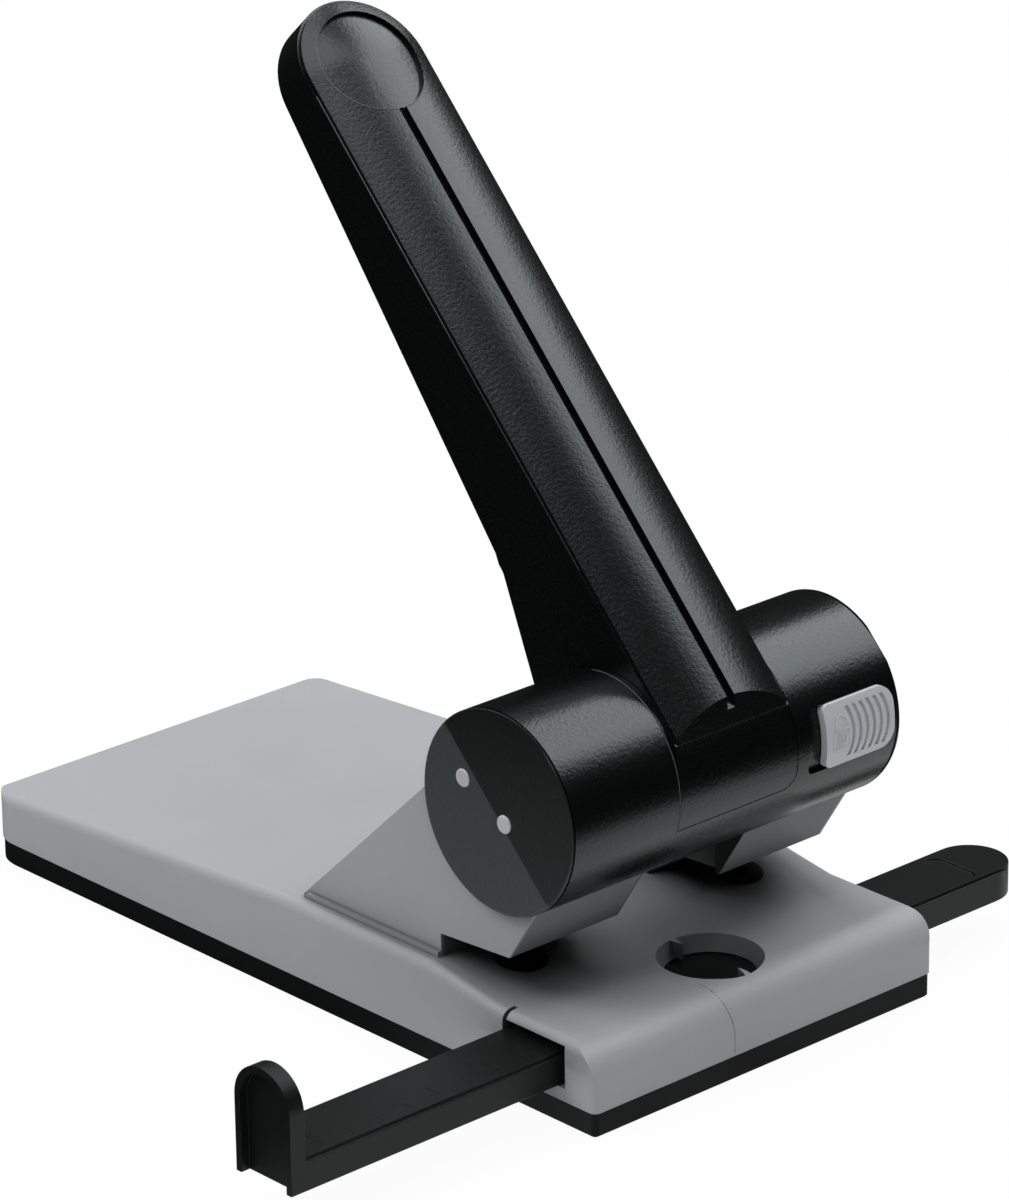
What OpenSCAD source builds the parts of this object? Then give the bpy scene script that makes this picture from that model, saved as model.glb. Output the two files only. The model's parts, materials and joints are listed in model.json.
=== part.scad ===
// Heavy-duty two-hole punch.
// The origin lies on the underside, at mid width, straight below the lever's axis.
// +X runs to the right along the barrel, +Y to the rear, +Z up.

/* [Base] */
// Width of the base
base_w = 125; // [118:1:140]
// Distance from the lever's axis to the front edge
base_front = 38.5; // [37:0.5:46]
// Distance from the lever's axis to the rear edge
base_rear = 214; // [180:1:240]
// Height of the bottom tray
tray_h = 7; // [6:0.1:7.8]
// Height of the front deck
deck_z = 24.8; // [24.3:0.1:25.8]
// Height of the level middle that the towers stand on
plateau_z = 29; // [27.8:0.1:30.8]
// Distance from the lever's axis to the start of the rear ramp
plateau_end = 80; // [78:1:95]
// Height of the rear plate at its rear edge
rear_z = 20.4; // [15:0.1:23]
// Radius of the rear corners
rear_corner_r = 12; // [8:0.5:18]
// Radius of the front corners
front_corner_r = 2; // [1:0.1:4]
// Radius of the rounded nose along the front edge
nose_r = 11; // [8:0.1:12]
// Size of the softened top edges
edge_r = 3; // [1.5:0.1:3.5]
// Wall of the base and thickness of its top
base_wall = 3.5; // [2.5:0.1:4]

/* [Paper slot] */
// Distance from the lever's axis to the paper stop
slot_back = 25.6; // [24.5:0.1:28]
// Height of the slot's ceiling at the paper stop
slot_rear_z = 35.6; // [34.3:0.1:36.3]
// Height of the slot's ceiling at its mouth
slot_front_z = 37.3; // [36.6:0.1:38.3]
// Distance from the lever's axis to the mouth of the slot
slot_mouth = 1; // [0:0.1:2]
// Length of the slot's floor, which rises from the deck to the paper stop
floor_l = 27; // [24:0.5:28]

/* [Towers] */
// Distance between the towers at the front
tower_gap = 37; // [34:0.5:40]
// Width over both towers
towers_w = 114.5; // [112:0.5:116]
// Height at which the front face of a tower meets the barrel
tower_front_z = 59.2; // [57:0.1:61]
// Distance from the lever's axis to the upper end of the front face
tower_front_y = 15; // [13:0.1:18]

/* [Barrel] */
// Height of the lever's axis
axis_z = 78.7; // [76.8:0.1:80.8]
// Outer radius of the barrel
barrel_r = 28; // [27.6:0.1:29]
// Length of the barrel over its end caps
barrel_l = 121; // [120:0.5:124]
// Wall of the barrel
barrel_wall = 3; // [2.6:0.1:3.2]
// Room on each side of the lever in the window for its hub
window_room = 1; // [0.9:0.1:1.5]
// Angle of the window's lower edge at the front
window_front = 198; // [190:1:205]
// Angle of the window's lower edge at the rear
window_rear = -31; // [-36:1:-31]
// Radius of the window's lower right corner
window_corner_r = 5; // [3:0.1:6]
// Thickness of the end caps
cap_t = 2; // [1.8:0.1:3]
// Radius of the rounded edge of the end caps
cap_edge_r = 1.2; // [0.6:0.1:1.5]
// Diameter of the bright pins in the end caps
cap_pin_d = 5; // [4:0.1:5.5]

/* [Lever] */
// Angle of the lever above the horizontal
lever_angle = 46.8; // [45:0.1:50]
// Angle that the lever is pressed through
lever_travel = 57; // [50:1:57]
// Width of the lever
lever_w = 41; // [38:0.5:41.5]
// Distance from the axis to the centre of the rounded tip
lever_l = 196.5; // [170:0.5:220]
// Height of the seam below the cover over the barrel
seam_lift = 0.4; // [0.3:0.1:2]
// Height of the cover's crown over the seam
crown_h = 5.1; // [4:0.1:6.5]
// Width of the ledge beside the cover
ledge_w = 0.7; // [0.4:0.1:1.2]
// Wall of the lever
lever_wall = 3.5; // [2.5:0.1:4.5]
// Diameter of the thumb dish
dish_d = 31.5; // [28:0.5:34]
// Depth of the thumb dish
dish_depth = 1.2; // [0.8:0.1:1.6]
// Width of the centre groove
groove_w = 2.6; // [1.2:0.1:3]
// Depth of the centre groove
groove_depth = 2.2; // [1:0.1:2.6]
// Distance from the axis to the top of the cut at the lever's front end
lever_cut_y = 24; // [23:0.1:25.5]
// Distance that the foot of that cut lies in front of its top
lever_cut_lean = 2.7; // [0:0.1:3]

/* [Punch drive] */
// Distance between the two holes
hole_spacing = 80; // [80:0.5:84]
// Diameter of the punches
punch_d = 5.5; // [5:0.1:6]
// Diameter of the racks behind the punches
rack_d = 10; // [9:0.1:10]
// Module of the teeth
gear_module = 1.5; // [1.5:0.05:1.55]
// Teeth on each pinion
gear_teeth = 18; // [18:1:18]
// Width of the pinions
pinion_w = 12; // [8:0.5:12]
// Width across the flats of the shaft
shaft_af = 14; // [12:0.1:15]
// Diameter of the shaft's journals
journal_d = 12; // [10:0.1:12]
// Diameter of the spring wire
wire_d = 1.1; // [0.8:0.1:1.3]
// Coils of each return spring
spring_coils = 4; // [3:0.5:5]
// Diameter of the dies
die_d = 14.5; // [14:0.5:18]
// Outer diameter of the guide bushes
bush_d = 12; // [11:0.1:13]

/* [Lock button] */
// Length of the lock button
button_l = 25.5; // [24:0.5:26.5]
// Height of the lock button
button_h = 17.5; // [15:0.5:18]
// Travel of the lock button
button_travel = 5.5; // [4:0.1:6]
// Height of the button's middle over the lever's axis
button_z = 2.2; // [0:0.1:3]
// Grooves in the button
button_grooves = 6; // [4:1:7]

/* [Guide rail] */
// Width of the rail
rail_w = 21.2; // [18:0.1:22]
// Height of the rail
rail_h = 8.9; // [7:0.1:9]
// Height of the rail's underside
rail_z = 11; // [10.8:0.1:11.4]
// Distance of the rail's middle in front of the lever's axis
rail_front = 14.6; // [14.4:0.1:15.2]
// Distance from mid width to the stop: half the long side of the paper
stop_x = 148.5; // [120:0.5:165]
// Thickness of the stop
stop_t = 5; // [4:0.1:8]
// Height of the stop over the rail's underside
stop_h = 32; // [26:0.1:42]
// Distance from mid width to the rail's right end
rail_right = 113; // [100:0.5:130]
// Wall of the rail
rail_wall = 2; // [1.6:0.1:2.4]
// Diameter of the window in the deck
sight_d = 29; // [24:0.5:30]

/* [Hidden] */
$fn = 64;

// Clearances
gap = 0.3;
fit = 0.05;
seat = 0.02;
eps = 1;

// Colours
paint_grey = [0.55, 0.56, 0.58];
satin_black = [0.05, 0.05, 0.055];
plastic_black = [0.09, 0.09, 0.095];
button_grey = [0.62, 0.63, 0.66];
steel = [0.7, 0.7, 0.72];
dark_steel = [0.25, 0.25, 0.27];
bronze = [0.62, 0.48, 0.28];

// Base
base_hw = base_w / 2;
floor_foot_y = slot_back - floor_l;
edge_steps = 6;
min_corner_r = 0.5;
die_h = 7.2;
die_lip = 1;
die_land = 3;
die_relief = 0.8;
die_floor = deck_z - die_h - die_lip;
pocket_rib = 2.5;
pocket_rows = 3;
tray_floor = 2;
tray_inset = 0.4;
rim_h = 2;
rim_t = 1.6;

// Paper guide
rail_y = -rail_front;
rail_top = rail_z + rail_h;
channel_w = rail_w + 2 * gap;
channel_top = rail_top + gap;
channel_low = rail_z - gap;
mouth_depth = 4.5;
mouth_rise = 2.6;
mouth_front = 1.9;
slit_w = 1.4;
sight_y = -17;
sight_taper = 2;
pointer_w = 2.6;
pointer_l = 2.2;
rail_lip_w = 1;
rail_lip_h = 0.8;
stop_rim = 2;
stop_recess = 2.8;
rail_tip_angle = -14;
rail_oval_l = 17;
rail_oval_w = 6.5;
rail_oval_depth = 0.5;
rail_oval_in = 19;
rail_oval_x = rail_right - rail_oval_in;

// Towers
tower_in = tower_gap / 2;
tower_out = towers_w / 2;
tower_foot_y = plateau_end + eps;
foot_h = 1.5;
foot_w = 1.2;
window_w = lever_w + 2 * window_room;
sweep_r = 45;
sweep_hw = window_w / 2 + gap;
tower_screw_d = 5;
tower_screw_y = [45, 64];
tower_screw_in = 10;
screw_head_h = 3;
screw_head_d = 7;
screw_socket_d = 4;

// Drive
pitch_r = gear_module * gear_teeth / 2;
pressure_angle = 20;
gear_base_r = pitch_r * cos(pressure_angle);
gear_tip_r = pitch_r + gear_module;
gear_foot = 1.25 * gear_module;
gear_root_r = pitch_r - gear_foot;
tooth_pitch = PI * gear_module;
backlash = 0.15;
punch_x = hole_spacing / 2;
punch_y = pitch_r;
ceiling_z = slot_front_z - (slot_front_z - slot_rear_z) * (punch_y + slot_mouth) / (slot_back + slot_mouth);
tip_lift = 0.8;
punch_tip_z = ceiling_z + tip_lift;
bore_r = barrel_r - barrel_wall;
rack_top_z = axis_z + sqrt(pow(bore_r - gap, 2) - pow(punch_y + rack_d / 2, 2));
collar_h = 2;
collar_z = axis_z - sqrt(pow(gear_tip_r, 2) - pow(punch_y - rack_d / 2, 2)) - 2 * gap - collar_h;
rack_first = ceil((collar_z + collar_h - axis_z) / tooth_pitch);
rack_last = floor((rack_top_z - axis_z) / tooth_pitch);
bush_h = 8.4;
bush_top = ceiling_z + bush_h;
bush_lift = 0.5;
tip_hollow = 0.9;
tip_hollow_ratio = 0.8;
spring_low = bush_top;
spring_high = collar_z;
spring_r = 4.3;
spring_sides = 6;
rings_per_coil = 8;
spring_rings = ceil(spring_coils * rings_per_coil);
spring_pocket_r = max(rack_d, 2 * spring_r + wire_d) / 2 + 2 * gap;

// Barrel and hub
hub_hw = window_w / 2 - gap;
hub_low_r = bore_r - 2 * gap;
hub_rear_play = 2.5;
hub_front_play = 0.7;
hub_rear = window_rear + lever_travel + hub_rear_play;
hub_front = window_front - hub_front_play;
corner_angle = window_front - window_corner_r / barrel_r * 180 / PI;
tube_hw = barrel_l / 2 - cap_t;
drive_room = 4.5;
spigot_l = tube_hw - punch_x - pinion_w / 2 - drive_room;
spigot_play = 0.2;
spigot_r = bore_r - spigot_play;
bearing_r = 9;
bearing_flange = 1.5;
bearing_out = tube_hw - eps;
bearing_in = tube_hw - spigot_l;
journal_end = bearing_out - gap;
hex_hw = bearing_in - bearing_flange - gap;
spacer_r = 10.5;
pinion_boss_r = 10;
pin_places = [[12.2, 6.4], [-3.3, -1.9]];
pin_depth = 1.5;
pin_proud = 0.4;
crease_angle = 46;
cap_seam = 0.5;
crease_tilt = 2.5;
barrel_screw_d = 4;
barrel_screw_angles = [-45, -80];
barrel_screw_in = 9;
barrel_screw_side = 6;
barrel_screw_x = window_w / 2 + barrel_screw_side;

// Lock button
button_sink = 1.4;
button_proud = 0.8;
button_play = 0.2;
button_margin = 1.5;
button_low_r = barrel_r - button_sink;
button_high_r = barrel_r + button_proud;
recess_r = button_low_r - button_play;
button_x1 = tube_hw - button_margin;
button_x0 = button_x1 - button_l;
button_corner = 5;
button_small_corner = 2.2;
finger_step = 2.6;
finger_w = 1.2;
finger_depth = 0.7;
finger_margin = 1.8;
finger_r = 15;
finger_bow = 2;
bolt_d = 4;
bolt_inset = 1.5;
bolt_play = 0.8;
bolt_r = bore_r - bolt_d / 2 - bolt_inset;
bolt_tip = hub_hw + bolt_play;
bolt_reach = button_travel + bolt_play;
stem_w = 5;
stem_in = 6;
stem_x = button_x0 + stem_in;
stem_l = 6;

// Lever
lever_hw = lever_w / 2;
cover_hw = lever_hw - ledge_w;
seam_n = barrel_r + seam_lift;
cover_lip = 1;
crown_rise = crown_h - cover_lip;
crown_r = (pow(cover_hw, 2) + pow(crown_rise, 2)) / (2 * crown_rise);
crown_n = seam_n + crown_h;
tip_heel_r = 4;
heel_s = lever_l + lever_hw - tip_heel_r;
back_tip_n = 17.6;
back_mid_s = 65;
back_mid_n = 2.6;
back_flare_s = 31.6;
back_flare_n = -10.2;
back_hub_s = 26.6;
back_hub_n = -9.2;
gusset_step = 0.7;
gusset_s = 34;
gusset_n = 0.1;
gusset_rise = 1.8;
gusset_turn_s = 30.8;
gusset_turn_n = -2.2;
gusset_end_s = 30;
web_s = 36;
rib_t = 2.5;
rib_places = [88, 135];
cover_screw_d = 2.5;
cover_screw_x = 9;
cover_screw_s = [66, 160];
cover_screw_in = 2.2;
cover_head_d = 5.2;
cover_head_h = 1.8;

// Extrudes a (y, z) side profile from x0 to x1
module side_extrude(x0, x1) {
    translate([x0, 0, 0]) rotate([90, 0, 90]) linear_extrude(x1 - x0) children();
}

// Places children drawn as (y, z) about the lever's axis, with the third axis along X
module on_axis() {
    translate([0, 0, axis_z]) rotate([90, 0, 90]) children();
}

// Round bar along the lever's axis from x0 to x1
module axis_bar(r, x0, x1) {
    on_axis() translate([0, 0, x0]) cylinder(r = r, h = x1 - x0);
}

// Part of a ring about the lever's axis between two angles
module axis_sector(r0, r1, x0, x1, a0, a1) {
    on_axis() translate([0, 0, x0]) rotate([0, 0, a0])
        rotate_extrude(angle = a1 - a0) translate([r0, 0]) square([r1 - r0, x1 - x0]);
}

// Places children in the lever's own frame: y along the lever, z out of its front
module on_lever() {
    translate([0, 0, axis_z]) rotate([lever_angle, 0, 0]) children();
}

// Extrudes a profile in the lever's own frame across its width
module lever_extrude(hw) {
    on_lever() side_extrude(-hw, hw) children();
}

// Mirrors a piece made for the right side to the left
module left() {
    mirror([1, 0, 0]) children();
}

// Rectangle with its corners rounded: r0 at low x, r1 at high x
module soft_rect(x0, x1, y0, y1, r0, r1) {
    union() {
        translate([x0 + r0, y0]) square([x1 - x0 - r0 - r1, y1 - y0]);
        translate([x0, y0 + r0]) square([r0 + eps, y1 - y0 - 2 * r0]);
        translate([x1 - r1 - eps, y0 + r1]) square([r1 + eps, y1 - y0 - 2 * r1]);
        for (y = [y0 + r0, y1 - r0]) {
            translate([x0 + r0, y]) circle(r = r0);
        }
        for (y = [y0 + r1, y1 - r1]) {
            translate([x1 - r1, y]) circle(r = r1);
        }
    }
}

// Outline of the base from above, drawn in by a margin
module base_outline(margin) {
    hw = base_hw - margin;
    y0 = -base_front + margin;
    y1 = base_rear - margin;
    rr = rear_corner_r - margin;
    rf = max(front_corner_r - margin, min_corner_r);
    union() {
        translate([-hw, y0 + rf]) square([2 * hw, y1 - y0 - rf - rr]);
        translate([-hw + rf, y0]) square([2 * (hw - rf), rf + eps]);
        translate([-hw + rr, y1 - rr - eps]) square([2 * (hw - rr), rr + eps]);
        for (s = [-1, 1]) {
            translate([s * (hw - rf), y0 + rf]) circle(r = rf);
            translate([s * (hw - rr), y1 - rr]) circle(r = rr);
        }
    }
}

// Top of the base as (y, z) stations from front to rear, ending in the softened rear edge
base_stations = concat(
    [[-base_front - eps, deck_z], [floor_foot_y, deck_z], [slot_back, plateau_z], [plateau_end, plateau_z]],
    [for (i = [0 : edge_steps]) let (a = 90 * i / edge_steps)
        [base_rear - edge_r + edge_r * sin(a), rear_z - edge_r + edge_r * cos(a)]],
    [[base_rear + eps, rear_z - edge_r]]
);

// Section across the base where its top is at z, with both top edges softened
function base_section(z) = concat(
    [[-base_hw, 0], [base_hw, 0]],
    [for (i = [0 : edge_steps]) let (a = 90 * i / edge_steps)
        [base_hw - edge_r + edge_r * cos(a), z - edge_r + edge_r * sin(a)]],
    [for (i = [edge_steps : -1 : 0]) let (a = 90 * i / edge_steps)
        [-base_hw + edge_r - edge_r * cos(a), z - edge_r + edge_r * sin(a)]]
);

// Solid below the base's top: its section carried through the stations
module base_sweep() {
    n = len(base_section(0));
    m = len(base_stations);
    polyhedron(
        points = [for (s = base_stations) for (p = base_section(s[1])) [p[0], s[0], p[1]]],
        faces = concat(
            [[for (i = [n - 1 : -1 : 0]) i]],
            [for (k = [0 : m - 2]) for (i = [0 : n - 1]) let (j = (i + 1) % n)
                [k * n + i, k * n + j, (k + 1) * n + j, (k + 1) * n + i]],
            [[for (i = [0 : n - 1]) (m - 1) * n + i]]
        )
    );
}

// Side view of the base with its rounded nose
module nose_profile() {
    nose_y = -base_front + nose_r;
    union() {
        translate([nose_y, tray_h]) square([base_front + base_rear, plateau_z]);
        translate([-base_front, tray_h]) square([nose_r + eps, deck_z - nose_r - tray_h]);
        intersection() {
            translate([nose_y, deck_z - nose_r]) circle(r = nose_r);
            translate([-base_front, tray_h]) square([nose_r + eps, deck_z]);
        }
    }
}

// Hollow below the middle and the rear plate, split by ribs
module base_pockets() {
    y0 = slot_back + base_wall;
    y1 = base_rear - base_wall;
    step = (y1 - y0 + pocket_rib) / pocket_rows;
    intersection() {
        side_extrude(-base_hw, base_hw) polygon([
            [y0, tray_h - eps],
            [y0, plateau_z - base_wall],
            [plateau_end, plateau_z - base_wall],
            [y1, rear_z - base_wall],
            [y1, tray_h - eps]
        ]);
        translate([0, 0, tray_h - eps]) linear_extrude(plateau_z) base_outline(base_wall);
        union() {
            for (i = [0 : pocket_rows - 1]) {
                for (s = [0, 1]) {
                    mirror([s, 0, 0]) translate([pocket_rib / 2, y0 + i * step, 0])
                        cube([base_hw, step - pocket_rib, plateau_z]);
                }
            }
        }
    }
}

// Space below the dies where the chips fall
module chip_space() {
    y0 = rail_y + channel_w / 2 + base_wall;
    translate([-base_hw + base_wall, y0, tray_h - eps])
        cube([base_w - 2 * base_wall, slot_back - y0, die_floor - tray_h + eps]);
}

// Way through the base for the guide rail, wider at both mouths, with a slit over the left one
module rail_channel() {
    y0 = rail_y - channel_w / 2;
    translate([-base_w, y0, channel_low]) cube([2 * base_w, channel_w, channel_top - channel_low]);
    for (s = [0, 1]) {
        mirror([s, 0, 0]) translate([base_hw - mouth_depth, y0 - mouth_front, channel_low])
            cube([base_w, channel_w + mouth_front, channel_top - channel_low + mouth_rise]);
    }
    translate([-base_w, y0 + channel_w - slit_w, channel_low])
        cube([base_w - base_hw + mouth_depth, slit_w, deck_z]);
}

// Round window in the deck with two pointers
module sight_window() {
    difference() {
        translate([0, sight_y, channel_top - seat])
            cylinder(d1 = sight_d - 2 * sight_taper, d2 = sight_d, h = deck_z - channel_top + 2 * seat);
        for (s = [-1, 1]) {
            translate([0, sight_y + s * sight_d / 2, channel_top - eps]) linear_extrude(deck_z)
                polygon([
                    [-pointer_w / 2, s * eps],
                    [pointer_w / 2, s * eps],
                    [0, -s * (pointer_l + sight_taper)]
                ]);
        }
    }
}

module base_body() {
    color(paint_grey) difference() {
        intersection() {
            base_sweep();
            side_extrude(-base_hw, base_hw) nose_profile();
            linear_extrude(2 * plateau_z) base_outline(0);
        }
        base_pockets();
        chip_space();
        rail_channel();
        sight_window();
        for (s = [-1, 1]) {
            translate([s * punch_x, punch_y, die_floor + die_lip])
                cylinder(d = die_d + 2 * seat, h = deck_z);
            translate([s * punch_x, punch_y, die_floor - eps])
                cylinder(d = die_d - 2 * die_lip, h = deck_z);
            for (y = tower_screw_y) {
                translate([s * punch_x, y, tray_h]) cylinder(d = tower_screw_d + 2 * fit, h = plateau_z);
            }
        }
    }
}

module bottom_tray() {
    color(plastic_black) difference() {
        union() {
            translate([0, 0, tray_inset]) linear_extrude(tray_h - tray_inset) base_outline(tray_inset);
            linear_extrude(tray_inset + seat) base_outline(2 * tray_inset);
            translate([0, 0, tray_h - seat]) linear_extrude(rim_h) intersection() {
                base_outline(base_wall + gap);
                translate([-base_hw, slot_back + base_wall + gap]) square([base_w, base_rear]);
            }
        }
        translate([0, 0, tray_floor]) linear_extrude(tray_h) intersection() {
            base_outline(base_wall + gap + rim_t);
            translate([-base_hw, slot_back + base_wall + gap + rim_t]) square([base_w, base_rear]);
        }
        translate([-base_hw + base_wall, -base_front + base_wall, tray_floor])
            cube([base_w - 2 * base_wall, base_front + slot_back - base_wall, tray_h]);
        for (s = [0, 1]) {
            mirror([s, 0, 0]) rim_notches();
        }
    }
}

// Gaps in the tray's rim where the ribs of the base pass
module rim_notches() {
    y0 = slot_back + base_wall;
    step = (base_rear - base_wall - y0 + pocket_rib) / pocket_rows;
    for (i = [1 : pocket_rows - 1]) {
        translate([0, y0 + i * step - pocket_rib - gap, tray_h])
            cube([base_w, pocket_rib + 2 * gap, rim_h + eps]);
    }
    translate([-eps, slot_back, tray_h]) cube([pocket_rib / 2 + gap + eps, base_rear, rim_h + eps]);
}

module right_tower() {
    color(paint_grey) difference() {
        union() {
            side_extrude(tower_in, tower_out) polygon([
                [slot_back, plateau_z],
                [tower_foot_y, plateau_z],
                [barrel_r, axis_z],
                [0, axis_z],
                [-tower_front_y, tower_front_z],
                [-slot_mouth, slot_front_z],
                [slot_back, slot_rear_z]
            ]);
            side_extrude(tower_out - eps, tower_out + foot_w) polygon([
                [slot_back, plateau_z],
                [tower_foot_y - foot_h, plateau_z],
                [tower_foot_y - 2 * foot_h, plateau_z + foot_h],
                [slot_back, plateau_z + foot_h]
            ]);
        }
        axis_bar(barrel_r + fit, 0, base_w);
        intersection() {
            axis_bar(sweep_r, 0, sweep_hw);
            translate([0, 0, plateau_z]) cube([base_w, base_rear, axis_z]);
        }
        translate([punch_x, punch_y, 0]) cylinder(d = bush_d + 2 * seat, h = bush_top);
        translate([punch_x, punch_y, bush_top - seat]) cylinder(r = spring_pocket_r, h = axis_z);
        for (y = tower_screw_y) {
            translate([punch_x, y, 0])
                cylinder(d = tower_screw_d + 2 * seat, h = plateau_z + tower_screw_in + gap);
        }
        on_barrel_screws() cylinder(d = barrel_screw_d + 2 * seat, h = barrel_r + barrel_screw_in + gap);
    }
}

module left_tower() {
    left() right_tower();
}

module tower_screws() {
    color(steel) for (s = [-1, 1]) {
        for (y = tower_screw_y) {
            translate([s * punch_x, y, plateau_z - base_wall]) {
                cylinder(d = tower_screw_d, h = base_wall + tower_screw_in);
                translate([0, 0, -screw_head_h]) difference() {
                    cylinder(d = screw_head_d, h = screw_head_h);
                    translate([0, 0, -seat]) cylinder(d = screw_socket_d, h = screw_head_h / 2, $fn = 6);
                }
            }
        }
    }
}

// Puts children on the axes of the right side's barrel screws, with z out of the barrel
module on_barrel_screws() {
    for (a = barrel_screw_angles) {
        translate([barrel_screw_x, 0, axis_z]) rotate([a - 90, 0, 0]) children();
    }
}

module barrel_screws() {
    color(steel) for (s = [0, 1]) {
        mirror([s, 0, 0]) on_barrel_screws() union() {
            translate([0, 0, bore_r - gap])
                cylinder(d = barrel_screw_d, h = barrel_wall + gap + barrel_screw_in);
            translate([0, 0, bore_r - gap - screw_head_h])
                cylinder(d = screw_head_d, h = screw_head_h);
        }
    }
}

// Extrudes a front view, drawn as (x, z) about the axis, from the axis out of the barrel's front
module front_extrude() {
    translate([0, 0, axis_z]) rotate([90, 0, 0]) linear_extrude(2 * barrel_r) children();
}

// Front view of the lock button, drawn out by a margin
module button_outline(x0, margin) {
    z0 = button_z - button_h / 2 - margin;
    z1 = button_z + button_h / 2 + margin;
    soft_rect(x0 - margin, button_x1 + margin, z0, z1, button_small_corner, button_corner + margin);
}

// Recess for the lock button, and the slot for its stem
module button_recess() {
    difference() {
        front_extrude() button_outline(button_x0 - button_travel, gap);
        axis_bar(recess_r, 0, barrel_l);
    }
    front_extrude() translate([stem_x - button_travel - gap, -stem_w / 2 - gap])
        square([stem_l + button_travel + 2 * gap, stem_w + 2 * gap]);
}

// Window for the hub, with its lower right corner rounded
module hub_window() {
    hw = window_w / 2;
    corner_x = hw - window_corner_r;
    axis_sector(0, 2 * barrel_r, -hw, hw, window_rear, corner_angle);
    axis_sector(0, 2 * barrel_r, -hw, corner_x, window_rear, window_front);
    on_axis() rotate([0, 0, corner_angle]) translate([0, 0, corner_x]) rotate([0, 90, 0])
        cylinder(r = window_corner_r, h = 2 * barrel_r);
}

// Full-radius part of the hub, with its lower right corner rounded to suit the window
module hub_panel() {
    corner_x = window_w / 2 - window_corner_r;
    axis_sector(hub_low_r - eps, barrel_r, -hub_hw, hub_hw, hub_rear, corner_angle);
    axis_sector(hub_low_r - eps, barrel_r, -hub_hw, corner_x, hub_rear, hub_front);
    intersection() {
        on_axis() rotate([0, 0, corner_angle]) translate([0, 0, corner_x]) rotate([0, 90, 0])
            cylinder(r = window_corner_r - gap - fit, h = 2 * barrel_r);
        axis_bar(barrel_r, -hub_hw, hub_hw);
    }
}

module barrel_housing() {
    color(satin_black) difference() {
        axis_bar(barrel_r, -tube_hw, tube_hw);
        axis_bar(bore_r, -barrel_l, barrel_l);
        hub_window();
        button_recess();
        for (s = [0, 1]) {
            mirror([s, 0, 0]) {
                translate([punch_x, punch_y, 0]) cylinder(r = spring_pocket_r, h = axis_z);
                on_barrel_screws() cylinder(d = barrel_screw_d + 2 * fit, h = 2 * barrel_r);
            }
        }
    }
}

module right_end_cap() {
    rim_r = barrel_r - cap_edge_r;
    color(satin_black) difference() {
        on_axis() rotate_extrude() union() {
            translate([0, tube_hw - spigot_l]) square([spigot_r, spigot_l + cap_t / 2]);
            translate([0, tube_hw]) square([rim_r, cap_t]);
            translate([0, tube_hw]) square([barrel_r - cap_seam, cap_t - cap_edge_r]);
            translate([rim_r, tube_hw + cap_t - cap_edge_r]) intersection() {
                circle(r = cap_edge_r);
                translate([-cap_edge_r, 0]) square([2 * cap_edge_r, cap_edge_r]);
            }
        }
        axis_bar(bearing_r + seat, 0, bearing_out);
        on_axis() translate([0, 0, barrel_l / 2]) {
            for (p = pin_places) {
                translate([p[0], p[1], -pin_depth]) cylinder(d = cap_pin_d + 2 * seat, h = cap_t);
            }
            rotate([0, 0, crease_angle]) rotate([-crease_tilt, 0, 0])
                translate([-barrel_l, 0, 0]) cube([2 * barrel_l, barrel_l, cap_t]);
        }
    }
}

module left_end_cap() {
    left() right_end_cap();
}

module end_cap_pins() {
    color(steel) for (s = [0, 1]) {
        mirror([s, 0, 0]) on_axis() for (p = pin_places) {
            translate([p[0], p[1], barrel_l / 2 - pin_depth])
                cylinder(d = cap_pin_d, h = pin_depth + pin_proud);
        }
    }
}

module right_bearing() {
    color(bronze) difference() {
        union() {
            axis_bar(bearing_r, bearing_in - bearing_flange, bearing_out - gap);
            axis_bar(bearing_r + bearing_flange, bearing_in - bearing_flange, bearing_in);
        }
        axis_bar(journal_d / 2 + fit, 0, barrel_l);
    }
}

module left_bearing() {
    left() right_bearing();
}

// Hexagonal bar along the lever's axis, larger than the shaft by a margin on each flat
module hex_bar(margin, hw) {
    on_axis() translate([0, 0, -hw]) cylinder(r = (shaft_af / 2 + margin) / cos(30), h = 2 * hw, $fn = 6);
}

module pivot_shaft() {
    color(steel) union() {
        hex_bar(0, hex_hw);
        axis_bar(journal_d / 2, -journal_end, journal_end);
    }
}

// Involute of an angle, and half of a tooth's angle at a radius
function involute(a) = tan(a) * 180 / PI - a;
function half_tooth(r) = 90 / gear_teeth - backlash * 180 / (PI * pitch_r)
    + involute(pressure_angle) - involute(acos(gear_base_r / r));
function polar(r, a) = [r * cos(a), r * sin(a)];

// Outline of one tooth round the angle c
function tooth(c) = let (
    radii = [gear_base_r, pitch_r, (pitch_r + gear_tip_r) / 2, gear_tip_r],
    n = len(radii)
) concat(
        [polar(gear_root_r, c - half_tooth(gear_base_r))],
        [for (r = radii) polar(r, c - half_tooth(r))],
        [for (i = [n - 1 : -1 : 0]) polar(radii[i], c + half_tooth(radii[i]))],
        [polar(gear_root_r, c + half_tooth(gear_base_r))]
);

module right_pinion() {
    color(dark_steel) difference() {
        union() {
            on_axis() translate([0, 0, punch_x - pinion_w / 2]) linear_extrude(pinion_w)
                polygon([for (i = [0 : gear_teeth - 1]) for (p = tooth(i * 360 / gear_teeth)) p]);
            axis_bar(pinion_boss_r, punch_x, hex_hw);
        }
        hex_bar(seat, barrel_l);
    }
}

module left_pinion() {
    left() right_pinion();
}

module right_spacer() {
    color(dark_steel) difference() {
        axis_bar(spacer_r, hub_hw, punch_x - pinion_w / 2);
        hex_bar(seat, barrel_l);
    }
}

module left_spacer() {
    left() right_spacer();
}

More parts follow.
